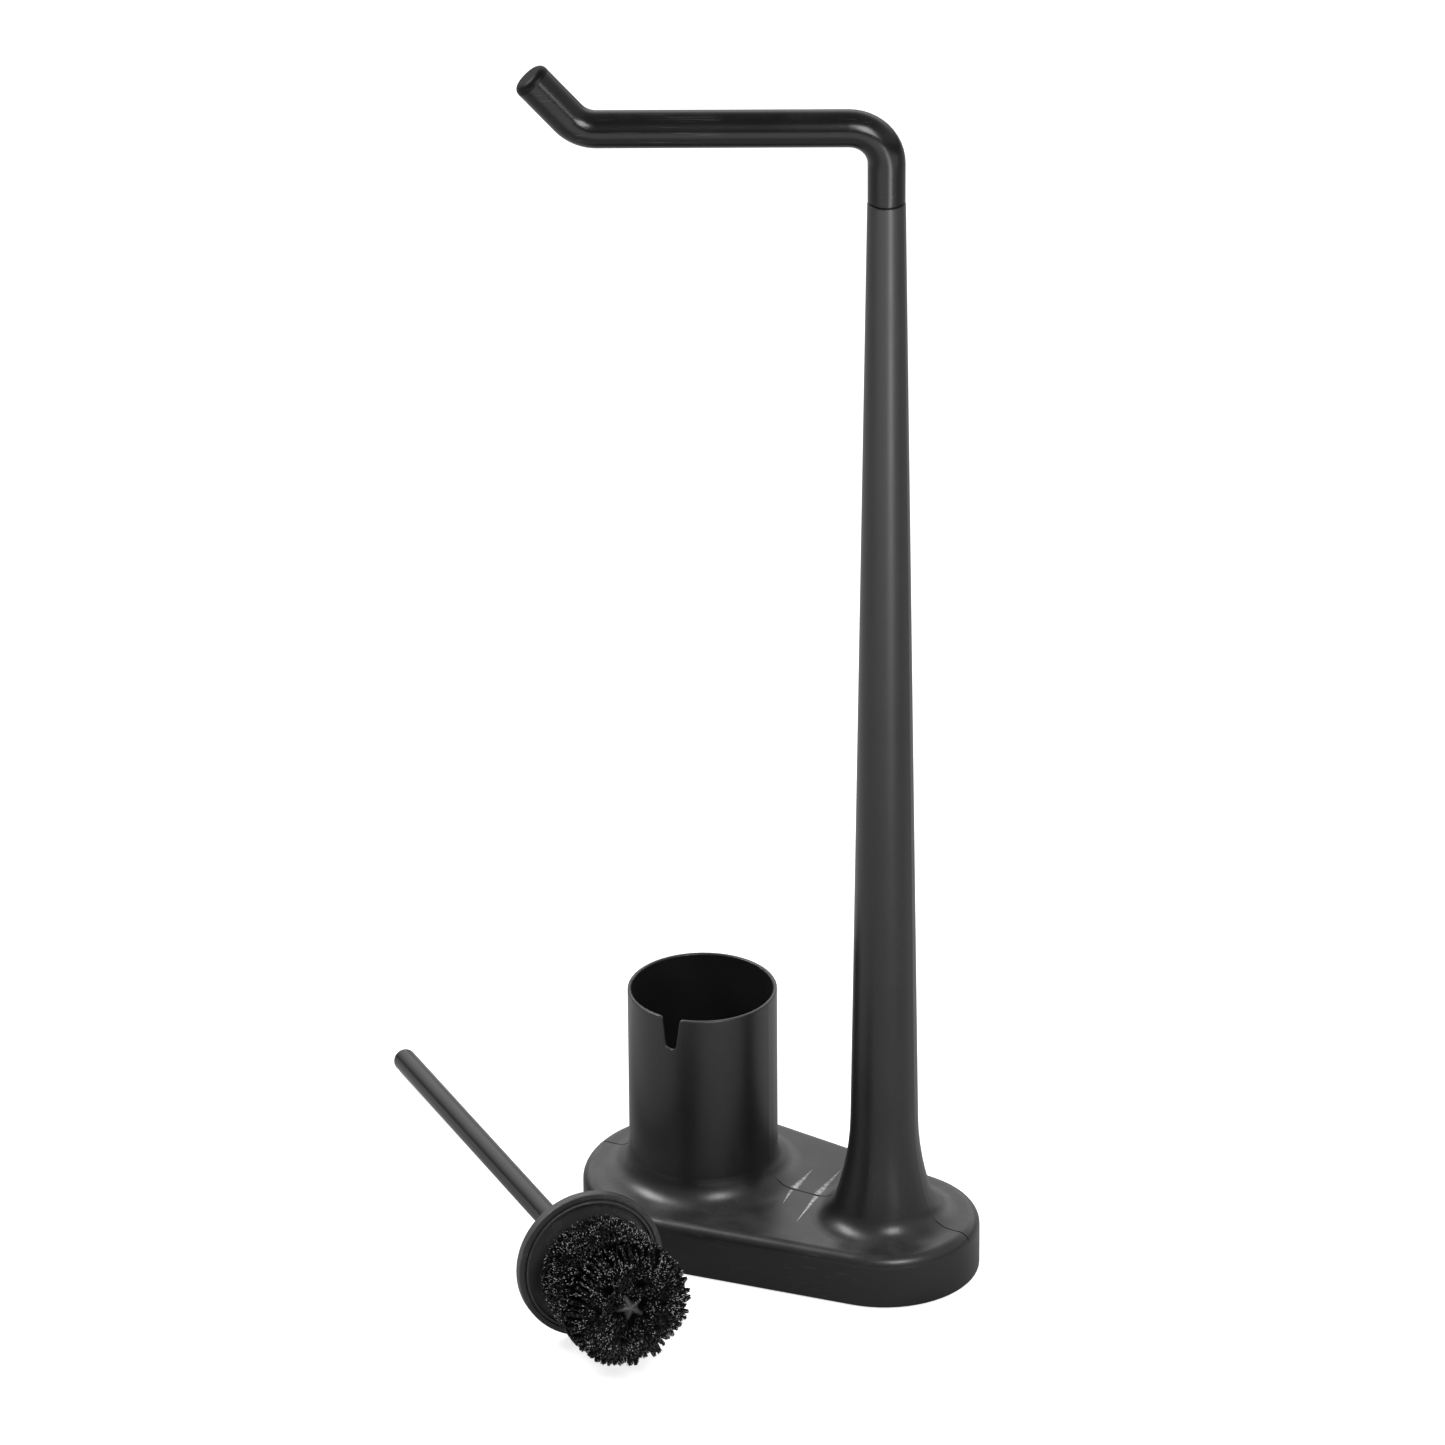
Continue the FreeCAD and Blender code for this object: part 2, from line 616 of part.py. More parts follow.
def brush_stance():
    """Where the brush lies: on the rounded edges of its lid and of its handle's end."""
    lid_round = float(lid_edge_round)
    cap_round = float(handle_cap_round)
    along = lid_round + float(handle_length + handle_cap_length) - cap_round
    across = float(lid_radius) - lid_round - float(handle_radius) + cap_round
    slope = math.atan2(across, along)
    slope += math.asin((lid_round - cap_round) / math.hypot(along, across))
    height = lid_round + (float(lid_radius) - lid_round) * math.cos(slope)
    height += FLOOR_CLEARANCE - lid_round * math.sin(slope)
    tilt = Rotation(Vector(0, 1, 0), 90.0 + math.degrees(slope))
    heading = Rotation(Vector(0, 0, 1), BRUSH_HEADING)
    return Placement(Vector(BRUSH_X, BRUSH_Y, height), heading * tilt)


def make_brush_parts():
    """Handle, cap, lid, stem, core and bristles, all in line."""
    lying = brush_stance()
    bore = handle_radius - handle_wall
    handle = turned_body("brush_handle", [
        (bore, ZERO), (handle_radius, ZERO), (handle_radius, handle_length), (bore, handle_length)], lying)

    top = handle_length + handle_cap_length
    cap = turned_body("handle_end_cap", [
        (ZERO, handle_length - handle_cap_length * 2), (bore, handle_length - handle_cap_length * 2),
        (bore, handle_length), (handle_radius, handle_length), (handle_radius, top), (ZERO, top)], lying)
    round_edges(cap, handle_cap_round, is_crown(top))

    insert = turned_body("handle_insert", [
        (stem_radius, ZERO), (bore, ZERO), (bore, insert_length), (stem_radius, insert_length)], lying)

    lid = turned_body("brush_lid", [
        (stem_radius, ZERO), (lid_radius, ZERO), (lid_radius, -lid_thickness),
        (groove_outer_radius, -lid_thickness), (groove_outer_radius, -groove_floor),
        (lip_outer_radius, -groove_floor), (lip_outer_radius, -lip_depth),
        (lip_inner_radius, -lip_depth), (lip_inner_radius, -lid_web),
        (hub_radius, -lid_web), (hub_radius, -hub_depth), (stem_radius, -hub_depth)], lying)
    outer = 2 * float(lid_radius) - 1
    round_edges(lid, lid_edge_round, lambda edge: lies_at(edge, 0) and edge.BoundBox.XLength > outer)
    round_edges(lid, lip_round, lambda edge: lies_at(edge, -float(lip_depth)))
    lid_rim = -float(lid_thickness)
    round_edges(lid, lip_round, lambda edge: lies_at(edge, lid_rim))

    stem = turned_body("brush_stem", [
        (ZERO, -stem_reach_down), (stem_radius, -stem_reach_down), (stem_radius, stem_reach_up),
        (ZERO, stem_reach_up)], lying)

    core = turned_body("brush_core", [
        (stem_radius, -hub_depth), (core_radius, -hub_depth), (core_radius, -head_shoulder),
        (core_tip_radius, -core_end), (ZERO, -core_end), (ZERO, -stem_reach_down),
        (stem_radius, -stem_reach_down)], lying)

    side = turned_body("side_tufts", [
        (core_radius, -head_top), (head_radius, -head_top), (head_rim_radius, -head_shoulder),
        (core_radius, -head_shoulder)], lying)
    tip = turned_body("tip_tufts", [
        (core_radius, -head_shoulder), (head_rim_radius, -head_shoulder), (head_rim_radius, -core_end),
        (head_end_radius, -head_end), (core_radius, -head_end), (core_tip_radius, -core_end)], lying)
    return [handle, cap, insert, lid, stem, core, side, tip]


def write_parts(pieces):
    """Check every object and write each piece to its own file."""
    doc.recompute()
    for item in doc.Objects:
        if {"Invalid", "Error"} & set(item.State):
            raise RuntimeError(f"{item.Label}: {item.State}")
    os.makedirs("parts", exist_ok=True)
    for piece in pieces:
        shape = piece.Shape
        if shape.isNull() or not shape.isValid():
            raise RuntimeError(f"{piece.Label}: no valid shape")
        shape.exportStep(f"parts/{piece.Label}.step")
        print(piece.Label, len(shape.Solids), "solid(s)", round(shape.Volume), "mm3")


write_parts([make_stand_shell()] + make_closing_parts() + make_arm_parts() + make_brush_parts())
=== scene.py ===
import math

import bpy
import numpy as np
from mathutils import Matrix, Vector


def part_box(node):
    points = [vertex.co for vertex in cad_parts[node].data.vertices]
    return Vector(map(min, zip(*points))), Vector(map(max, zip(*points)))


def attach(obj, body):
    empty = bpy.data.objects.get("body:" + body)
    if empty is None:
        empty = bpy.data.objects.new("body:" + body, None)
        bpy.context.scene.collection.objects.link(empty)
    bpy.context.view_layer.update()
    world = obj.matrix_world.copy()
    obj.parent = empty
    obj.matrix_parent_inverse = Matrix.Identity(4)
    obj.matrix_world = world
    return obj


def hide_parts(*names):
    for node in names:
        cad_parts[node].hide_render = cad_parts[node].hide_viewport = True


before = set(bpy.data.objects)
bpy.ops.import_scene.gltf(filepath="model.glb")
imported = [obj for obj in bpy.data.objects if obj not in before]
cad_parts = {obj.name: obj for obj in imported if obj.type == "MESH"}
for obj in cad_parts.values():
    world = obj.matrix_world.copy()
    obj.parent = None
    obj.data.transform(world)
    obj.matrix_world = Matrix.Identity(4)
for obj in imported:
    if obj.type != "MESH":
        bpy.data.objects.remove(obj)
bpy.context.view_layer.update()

# Camera and room
# A long lens looks down on the stand from the front and right, and two soft boxes light it. The sky
# is brightest behind the stand, partway up, and the pale floor glows, most of all in a strip in front.
view_azimuth = math.radians(28.33)
view_elevation = math.radians(26.14)
view_roll = math.radians(-0.43)
view_distance = 4.761
aim = Vector((0.0054, 0.0181, 0.3272))

camera = bpy.data.objects.new("camera", bpy.data.cameras.new("camera"))
bpy.context.scene.collection.objects.link(camera)
camera.data.lens = 200.0
camera.data.clip_end = 50.0
turn = (Matrix.Rotation(view_azimuth, 4, "Z") @ Matrix.Rotation(math.pi / 2 - view_elevation, 4, "X")
        @ Matrix.Rotation(view_roll, 4, "Z"))
camera.matrix_world = Matrix.Translation(aim) @ turn @ Matrix.Translation((0, 0, view_distance))
bpy.context.scene.camera = camera
bpy.context.scene.view_settings.view_transform = "Standard"


def add_node(tree, kind, sockets, **settings):
    """A node with its settings and its sockets, each a number, a colour or another node's output."""
    node = tree.nodes.new(kind)
    for name, value in settings.items():
        setattr(node, name, value)
    for name, value in sockets.items():
        if isinstance(value, bpy.types.NodeSocket):
            tree.links.new(value, node.inputs[name])
        else:
            node.inputs[name].default_value = value
    return node


def calculate(tree, operation, first, second=0.0, third=0.0):
    """One sum on values."""
    node = add_node(tree, "ShaderNodeMath", {0: first, 1: second, 2: third}, operation=operation)
    return node.outputs["Value"]


def span(tree, value, low, high, bottom=0.0, top=1.0, course="SMOOTHSTEP"):
    """Value carried from low..high to bottom..top, and no further, smoothly or evenly (LINEAR)."""
    node = add_node(tree, "ShaderNodeMapRange", {"Value": value, "From Min": low, "From Max": high,
                                                 "To Min": bottom, "To Max": top}, interpolation_type=course)
    return node.outputs["Result"]


def measure_along(tree, place, heading):
    """How far a place lies along a heading."""
    node = add_node(tree, "ShaderNodeVectorMath", {0: place, 1: heading}, operation="DOT_PRODUCT")
    return node.outputs["Value"]


room = bpy.data.worlds.new("room")
bpy.context.scene.world = room
room.use_nodes = True
sky = room.node_tree
looking = add_node(sky, "ShaderNodeTexCoord", {}).outputs["Generated"]
height = add_node(sky, "ShaderNodeSeparateXYZ", {0: looking}).outputs["Z"]
behind = span(sky, measure_along(sky, looking, (-0.47, 0.88, 0.0)), 0.45, 0.88, 0.42, 1.7, "LINEAR")
beside = span(sky, measure_along(sky, looking, (0.88, 0.47, 0.0)), 0.0, 0.9, 0.0, 0.5, "LINEAR")
overhead = span(sky, height, 0.45, 0.85, 1.0, 0.45, "LINEAR")
low_down = span(sky, height, 0.05, 0.35, 0.15, 1.0, "LINEAR")
level_glow = calculate(sky, "ADD", behind, beside)
sky_glow = calculate(sky, "MULTIPLY", level_glow, calculate(sky, "MULTIPLY", overhead, low_down))
sky.nodes["Background"].inputs["Color"].default_value = (1.0, 1.0, 1.0, 1.0)
sky.links.new(sky_glow, sky.nodes["Background"].inputs["Strength"])

lit_spot = Vector((0.05, 0.0, 0.15))


def soft_box(name, heading, distance, width, height, power):
    """A rectangular light, that far from the stand in that direction, facing it."""
    light = bpy.data.lights.new(name, "AREA")
    light.shape = "RECTANGLE"
    light.size = width
    light.size_y = height
    light.energy = power
    lamp = bpy.data.objects.new(name, light)
    lamp.visible_camera = False
    bpy.context.scene.collection.objects.link(lamp)
    lamp.location = lit_spot + Vector(heading).normalized() * distance
    lamp.rotation_euler = (lit_spot - lamp.location).to_track_quat("-Z", "Y").to_euler()


soft_box("soft_box_left", (-0.60, -0.16, 0.74), 2.2, 0.7, 0.9, 38.0)
soft_box("soft_box_right", (0.54, -0.44, 0.68), 1.6, 0.45, 0.60, 14.5)

floor_reach = 12.0
floor_level = -0.0002
floor_corners = [(-floor_reach, -floor_reach, floor_level), (floor_reach, -floor_reach, floor_level),
                 (floor_reach, floor_reach, floor_level), (-floor_reach, floor_reach, floor_level)]
floor_mesh = bpy.data.meshes.new("floor")
floor_mesh.from_pydata(floor_corners, [], [(0, 1, 2, 3)])
floor = bpy.data.objects.new("floor", floor_mesh)
bpy.context.scene.collection.objects.link(floor)
pale_floor = bpy.data.materials.new("pale_floor")
pale_floor.use_nodes = True
table = pale_floor.node_tree
spread = add_node(table, "ShaderNodeTexCoord", {}).outputs["Object"]
seen = add_node(table, "ShaderNodeLightPath", {}).outputs["Is Camera Ray"]
distance = add_node(table, "ShaderNodeVectorMath", {0: spread}, operation="LENGTH").outputs["Value"]
near_glow = span(table, distance, 0.08, 0.30, 0.0, 0.40, "LINEAR")
front_glow = span(table, measure_along(table, spread, (0.47, -0.88, 0.0)), 0.7, 1.5, 0.0, 1.5)
off_strip = calculate(table, "ABSOLUTE", measure_along(table, spread, (0.60, 0.80, 0.0)))
strip_side = span(table, off_strip, 0.15, 0.40, 1.0, 0.0, "LINEAR")
strip_end = span(table, measure_along(table, spread, (0.80, -0.60, 0.0)), 1.25, 1.45, 0.0, 8.0, "LINEAR")
lit = calculate(table, "MULTIPLY_ADD", strip_side, strip_end, calculate(table, "ADD", near_glow, front_glow))
table_glow = add_node(table, "ShaderNodeMix", {0: seen, 2: lit, 3: 0.75}).outputs[0]
table_tone = add_node(table, "ShaderNodeMix", {0: seen, 2: 0.21, 3: 0.6}).outputs[0]
floor_shader = table.nodes["Principled BSDF"]
table.links.new(table_tone, floor_shader.inputs["Base Color"])
table.links.new(table_glow, floor_shader.inputs["Emission Strength"])
floor_shader.inputs["Roughness"].default_value = 0.9
floor_shader.inputs["Emission Color"].default_value = (1, 1, 1, 1)
floor_mesh.materials.append(pale_floor)

# Stand: base cover, brush cup and column
# One injection moulding in charcoal plastic with a fine spark-eroded grain, drawn from a two-part
# mould. The mould's parting leaves a thin line over the base, through both axes.


def new_group(name, inputs, outputs):
    """A shader node group; inputs and outputs give each socket's name and kind, and a default."""
    group = bpy.data.node_groups.new(name, "ShaderNodeTree")
    for label, kind, value in inputs:
        socket = group.interface.new_socket(name=label, in_out="INPUT", socket_type="NodeSocket" + kind)
        socket.default_value = value
    for label, kind in outputs:
        group.interface.new_socket(name=label, in_out="OUTPUT", socket_type="NodeSocket" + kind)
    return group, group.nodes.new("NodeGroupInput").outputs, group.nodes.new("NodeGroupOutput").inputs


def noise(tree, place, scale, detail=2.0):
    """Noise between about 0 and 1 at that scale, in turns to the metre."""
    node = add_node(tree, "ShaderNodeTexNoise", {"Vector": place, "Scale": scale, "Detail": detail})
    return node.outputs["Fac"]


def blend_colour(tree, amount, first, second):
    """The first colour, giving way to the second by amount."""
    return add_node(tree, "ShaderNodeMix", {0: amount, 6: first, 7: second}, data_type="RGBA").outputs[2]


def build_moulded_grain():
    """Fine pebbled grain with slow changes of tone and gloss, as a mould's etched wall gives."""
    group, given, out = new_group(
        "moulded_grain",
        [("Place", "Vector", (0, 0, 0)), ("Grain Size", "Float", 0.0005),
         ("Tone", "Color", (0, 0, 0, 1)), ("Mottle", "Float", 0.2), ("Roughness", "Float", 0.4),
         ("Gloss Change", "Float", 0.08)],
        [("Colour", "Color"), ("Roughness", "Float"), ("Height", "Float")])
    fine = noise(group, given["Place"], calculate(group, "DIVIDE", 1.0, given["Grain Size"]), 2.0)
    cloud = noise(group, given["Place"], 38.0, 4.0)
    pepper = noise(group, given["Place"], 900.0, 1.0)
    change = calculate(group, "SUBTRACT", calculate(group, "MULTIPLY_ADD", pepper, 0.6, cloud), 0.8)
    lift = calculate(group, "MULTIPLY_ADD", change, given["Mottle"], 1.0)
    toned = add_node(group, "ShaderNodeVectorMath", {0: given["Tone"], "Scale": lift}, operation="SCALE")
    group.links.new(toned.outputs["Vector"], out["Colour"])
    rough = calculate(group, "MULTIPLY_ADD", change, given["Gloss Change"], given["Roughness"])
    group.links.new(rough, out["Roughness"])
    group.links.new(fine, out["Height"])
    return group


def build_surface_dust():
    """Pale dust on faces that look up: a thin film and scattered specks."""
    group, given, out = new_group(
        "surface_dust",
        [("Place", "Vector", (0, 0, 0)), ("Facing", "Vector", (0, 0, 1)), ("Amount", "Float", 0.3)],
        [("Mask", "Float")])
    up = add_node(group, "ShaderNodeSeparateXYZ", {0: given["Facing"]}).outputs["Z"]
    film = span(group, noise(group, given["Place"], 60.0, 5.0), 0.35, 0.75, 0.25, 0.8)
    speck = span(group, noise(group, given["Place"], 1500.0, 0.0), 0.66, 0.74)
    level_parts = span(group, up, 0.55, 0.97)
    laid = calculate(group, "MULTIPLY", calculate(group, "MAXIMUM", film, speck), level_parts)
    group.links.new(calculate(group, "MULTIPLY", laid, given["Amount"]), out["Mask"])
    return group


def draw_out(tree, place, along, across):
    """A place with its local x axis scaled by along and the other two by across."""
    scale = add_node(tree, "ShaderNodeCombineXYZ", {"X": along, "Y": across, "Z": across}).outputs[0]
    return add_node(tree, "ShaderNodeVectorMath", {0: place, 1: scale}, operation="MULTIPLY").outputs[0]


def build_rub_streaks():
    """Thin rub marks: noise drawn out along the local x axis, of which only the crests count."""
    group, given, out = new_group(
        "rub_streaks",
        [("Place", "Vector", (0, 0, 0)), ("Across", "Float", 900.0), ("Along", "Float", 18.0),
         ("Amount", "Float", 0.5)],
        [("Mask", "Float")])
    drawn = draw_out(group, given["Place"], given["Along"], given["Across"])
    lines = span(group, noise(group, drawn, 1.0, 1.0), 0.62, 0.72)
    patches = span(group, noise(group, given["Place"], 24.0, 2.0), 0.45, 0.6)
    mask = calculate(group, "MULTIPLY", calculate(group, "MULTIPLY", lines, patches), given["Amount"])
    group.links.new(mask, out["Mask"])
    return group


moulded_grain = build_moulded_grain()
surface_dust = build_surface_dust()
rub_streaks = build_rub_streaks()


def new_finish(name, roughness, metallic=0.0):
    """A material with its shader, its tree and the place and facing of the surface on the object."""
    material = bpy.data.materials.new(name)
    material.use_nodes = True
    tree = material.node_tree
    shader = tree.nodes["Principled BSDF"]
    shader.inputs["Roughness"].default_value = roughness
    shader.inputs["Metallic"].default_value = metallic
    where = add_node(tree, "ShaderNodeTexCoord", {})
    return material, tree, shader, where.outputs["Object"], where.outputs["Normal"]


def use_group(tree, group, **sockets):
    """A group placed in a material; an underscore in a socket's name stands for a space."""
    node = tree.nodes.new("ShaderNodeGroup")
    node.node_tree = group
    for name, value in sockets.items():
        socket = node.inputs[name.replace("_", " ")]
        if isinstance(value, bpy.types.NodeSocket):
            tree.links.new(value, socket)
        else:
            socket.default_value = value
    return node.outputs


def emboss(tree, shader, height, depth):
    """Bump of that depth in metres."""
    node = add_node(tree, "ShaderNodeBump", {"Height": height, "Distance": depth, "Strength": 1.0})
    tree.links.new(node.outputs["Normal"], shader.inputs["Normal"])


def grey(level):
    """A neutral colour."""
    return (level, level, level * 1.02, 1.0)


def highlight_streak_mask(tree, place, point, root, width):
    """Up to 1 on a pale wedge on the base's top, a painted highlight, that widens from its point to its root,
    else 0.
    """
    run = Vector(root) - Vector(point)
    way = run.normalized()
    offset = add_node(tree, "ShaderNodeVectorMath", {0: place, 1: point}, operation="SUBTRACT").outputs[0]
    part = calculate(tree, "DIVIDE", measure_along(tree, offset, tuple(way)), run.length)
    aside = calculate(tree, "ABSOLUTE", measure_along(tree, offset, (-way.y, way.x, 0)))
    ragged = calculate(tree, "MULTIPLY_ADD", noise(tree, place, 260.0, 2.0), 0.8, 0.55)
    widened = calculate(tree, "MULTIPLY", calculate(tree, "MAXIMUM", part, 0.001), width / 2)
    ratio = calculate(tree, "DIVIDE", aside, calculate(tree, "MULTIPLY", widened, ragged))
    inside = calculate(tree, "MULTIPLY", calculate(tree, "GREATER_THAN", part, 0.0),
                       calculate(tree, "LESS_THAN", part, 1.0))
    # Noise breaks the painted highlight into pieces along its length.
    streak_breaks = span(tree, noise(tree, place, 700.0, 3.0), 0.36, 0.58, 0.3, 1.0)
    solid = calculate(tree, "MULTIPLY", span(tree, ratio, 0.2, 1.0, 1.0, 0.0), inside)
    return calculate(tree, "MULTIPLY", solid, streak_breaks)


def plastic_finish(name, tone, roughness, grain_size, depth, mottle=0.4, gloss_change=0.08, specular=0.5):
    """A plain moulded or turned plastic."""
    material, tree, shader, place, facing = new_finish(name, roughness)
    grain = use_group(tree, moulded_grain, Place=place, Grain_Size=grain_size, Tone=tone, Mottle=mottle,
                      Roughness=roughness, Gloss_Change=gloss_change)
    tree.links.new(grain["Colour"], shader.inputs["Base Color"])
    tree.links.new(grain["Roughness"], shader.inputs["Roughness"])
    emboss(tree, shader, grain["Height"], depth)
    shader.inputs["Specular IOR Level"].default_value = specular
    return material


base_top = 0.0335
dust_colour = (0.30, 0.29, 0.28, 1)
stand_matte, tree, shader, place, facing = new_finish("stand_matte", 0.4)
grain = use_group(tree, moulded_grain, Place=place, Grain_Size=0.0006, Tone=grey(0.0085), Mottle=0.5,
                  Roughness=0.35, Gloss_Change=0.10)
dust = use_group(tree, surface_dust, Place=place, Facing=facing, Amount=0.10)["Mask"]
# Four pale wedges on the base's top, between cup and column, are painted highlights: reflections of light
# painted into the colour.
highlight_streak = 0.0
for point, root, width in (((0.0604, 0.0276, base_top), (0.0612, 0.0015, base_top), 0.0064),
                           ((0.0640, -0.0190, base_top), (0.0608, -0.0012, base_top), 0.0032),
                           ((0.0758, 0.0357, base_top), (0.0772, 0.0008, base_top), 0.0066),
                           ((0.0815, -0.0345, base_top), (0.0778, -0.0015, base_top), 0.0040)):
    highlight_streak = calculate(tree, "MAXIMUM", highlight_streak, highlight_streak_mask(tree, place, point, root, width))
height = add_node(tree, "ShaderNodeSeparateXYZ", {0: place}).outputs["Z"]
on_base = span(tree, height, 0.036, 0.040, 1.0, 0.0)
painted_highlight_streaks = calculate(tree, "MULTIPLY", highlight_streak, on_base)
knocks = use_group(tree, rub_streaks, Place=place, Across=700.0, Along=60.0, Amount=0.2)["Mask"]
knocks = calculate(tree, "MULTIPLY", knocks, on_base)
coloured = blend_colour(tree, dust, grain["Colour"], dust_colour)
coloured = blend_colour(tree, knocks, coloured, grey(0.06))
# Painted highlight: the streak wedges turn the colour near white.
coloured = blend_colour(tree, painted_highlight_streaks, coloured, grey(0.62))
tree.links.new(coloured, shader.inputs["Base Color"])
tree.links.new(calculate(tree, "MULTIPLY_ADD", knocks, 0.2, grain["Roughness"]), shader.inputs["Roughness"])
emboss(tree, shader, grain["Height"], 0.000018)


def dress(name, material):
    """Give a carried-over piece its finish."""
    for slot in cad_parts[name].material_slots:
        slot.material = material


dress("stand_shell", stand_matte)


def add_piece(name, points, faces, material, body, smooth=False, instead_of=None):
    """A new piece from an array of points and a list of faces, on its body and with its slot."""
    mesh = bpy.data.meshes.new(name)
    mesh.from_pydata(points.tolist(), [], faces)
    mesh.polygons.foreach_set("use_smooth", np.full(len(mesh.polygons), smooth))
    mesh.materials.append(material)
    piece = bpy.data.objects.new(name, mesh)
    bpy.context.scene.collection.objects.link(piece)
    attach(piece, body)
    if instead_of:
        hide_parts(instead_of)
    return piece


def arc_points(centre, radius, first, last, count):
    """Points on an arc in the plane of the stand, at angles first to last in degrees."""
    angle = np.radians(np.linspace(first, last, count))
    return np.column_stack([centre[0] + radius * np.cos(angle), centre[1] + radius * np.sin(angle)])


def bead_along(path, width, proud):
    """A closed bead: half an ellipse, width by proud, set square to a path in the plane y = 0 and
    carried along it, with its flat side sunk a little and both ends closed and tapered."""
    along = np.gradient(path, axis=0)
    along /= np.linalg.norm(along, axis=1, keepdims=True)
    outward = np.column_stack([-along[:, 1], along[:, 0]])
    angle = np.linspace(0.0, math.pi, 7)
    across = np.append(np.cos(angle), [-1.0, 1.0])[::-1] * width / 2
    rise = np.append(np.sin(angle) * proud, [-proud, -proud])[::-1]
    step = np.arange(len(path))
    taper = np.clip(np.minimum(step, step[::-1]) / 6.0, 0.15, 1.0)
    x = path[:, :1] + outward[:, :1] * rise * taper[:, None]
    z = path[:, 1:] + outward[:, 1:] * rise * taper[:, None]
    y = np.broadcast_to(across, x.shape) * taper[:, None]
    points = np.stack([x, y, z], axis=-1).reshape(-1, 3)
    side = len(across)
    ring, place = np.meshgrid(step[:-1], np.arange(side), indexing="ij")
    after = (place + 1) % side
    faces = np.stack([ring * side + place, ring * side + after, (ring + 1) * side + after,
                      (ring + 1) * side + place], axis=-1).reshape(-1, 4)
    ends = [list(range(side - 1, -1, -1)), list(range(len(points) - side, len(points)))]
    return points, faces.tolist() + ends


cup_axis = 0.0
column_axis = 0.123
foot_curl = 0.016
cup_flare = 0.061
column_flare = 0.0450
edge_round = 0.007
low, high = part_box("stand_shell")
line_climb = 55.0
round_middle = base_top - edge_round
curl_middle = base_top + foot_curl
left_line = np.vstack([
    arc_points((low.x + edge_round, round_middle), edge_round, 178, 92, 12),
    arc_points((cup_axis - cup_flare, curl_middle), foot_curl, 270, 270 + line_climb, 16)])
middle_line = np.vstack([
    arc_points((cup_axis + cup_flare, curl_middle), foot_curl, 270 - line_climb, 269, 16),
    arc_points((column_axis - column_flare, curl_middle), foot_curl, 271, 270 + line_climb, 16)])
right_line = np.vstack([
    arc_points((column_axis + column_flare, curl_middle), foot_curl, 270 - line_climb, 270, 16),
    arc_points((high.x - edge_round, round_middle), edge_round, 88, 2, 12)])
mould_line = plastic_finish("mould_line", grey(0.001), 0.6, 0.0008, 0.00001, 0.5, 0.1, specular=0.02)
line_width = 0.00085
line_proud = 0.00008
line_points = np.empty((0, 3))
line_faces = []
for path in (left_line, middle_line, right_line):
    points, faces = bead_along(path, line_width, line_proud)
    line_faces += [[corner + len(line_points) for corner in face] for face in faces]
    line_points = np.vstack([line_points, points])
add_piece("parting_line", line_points, line_faces, mould_line, "stand")

# Weight and closing parts under the base
# A cast-iron weight lies in the hollow base, a zinc-plated steel plate closes it, five countersunk
# screws hold the plate to the moulded bosses, and a rubber sheet glued over them grips the floor.


def build_metal_skin():
    """Bare metal: rolling lines or casting pits, with stains and a dull patina in clouds."""
    group, given, out = new_group(
        "metal_skin",
        [("Place", "Vector", (0, 0, 0)), ("Tone", "Color", (0.5, 0.5, 0.5, 1)),
         ("Stain", "Color", (0.2, 0.1, 0.05, 1)), ("Stained", "Float", 0.3), ("Roughness", "Float", 0.4),
         ("Line Scale", "Float", 1500.0), ("Line Length", "Float", 40.0)],
        [("Colour", "Color"), ("Roughness", "Float"), ("Height", "Float")])
    drawn = draw_out(group, given["Place"], given["Line Length"], given["Line Scale"])
    lines = noise(group, drawn, 1.0, 3.0)
    cloud = noise(group, given["Place"], 45.0, 6.0)
    stained = calculate(group, "MULTIPLY", span(group, cloud, 0.5, 0.7), given["Stained"])
    group.links.new(blend_colour(group, stained, given["Tone"], given["Stain"]), out["Colour"])
    rough = calculate(group, "MULTIPLY_ADD", lines, 0.25, given["Roughness"])
    group.links.new(calculate(group, "MULTIPLY_ADD", stained, 0.3, rough), out["Roughness"])
    group.links.new(lines, out["Height"])
    return group


metal_skin = build_metal_skin()


def metal_finish(name, tone, stain, stained, roughness, metallic, line_scale, line_length, depth):
    """A bare metal finish."""
    material, tree, shader, place, facing = new_finish(name, roughness, metallic)
    skin = use_group(tree, metal_skin, Place=place, Tone=tone, Stain=stain, Stained=stained,
                     Roughness=roughness, Line_Scale=line_scale, Line_Length=line_length)
    tree.links.new(skin["Colour"], shader.inputs["Base Color"])
    tree.links.new(skin["Roughness"], shader.inputs["Roughness"])
    emboss(tree, shader, skin["Height"], depth)
    return material


dress("base_plate", metal_finish("plate_steel", (0.55, 0.55, 0.56, 1), (0.32, 0.27, 0.2, 1), 0.35, 0.28, 1.0,
                                 1800.0, 30.0, 0.00001))
dress("ballast_weight", metal_finish("ballast_iron", (0.11, 0.105, 0.10, 1), (0.16, 0.06, 0.03, 1), 0.7, 0.55,
                                     0.7, 500.0, 500.0, 0.0003))
screw_steel = metal_finish("screw_steel", (0.60, 0.60, 0.62, 1), (0.4, 0.35, 0.25, 1), 0.2, 0.25, 1.0,
                           2500.0, 2500.0, 0.00001)
dress("plate_screws", screw_steel)

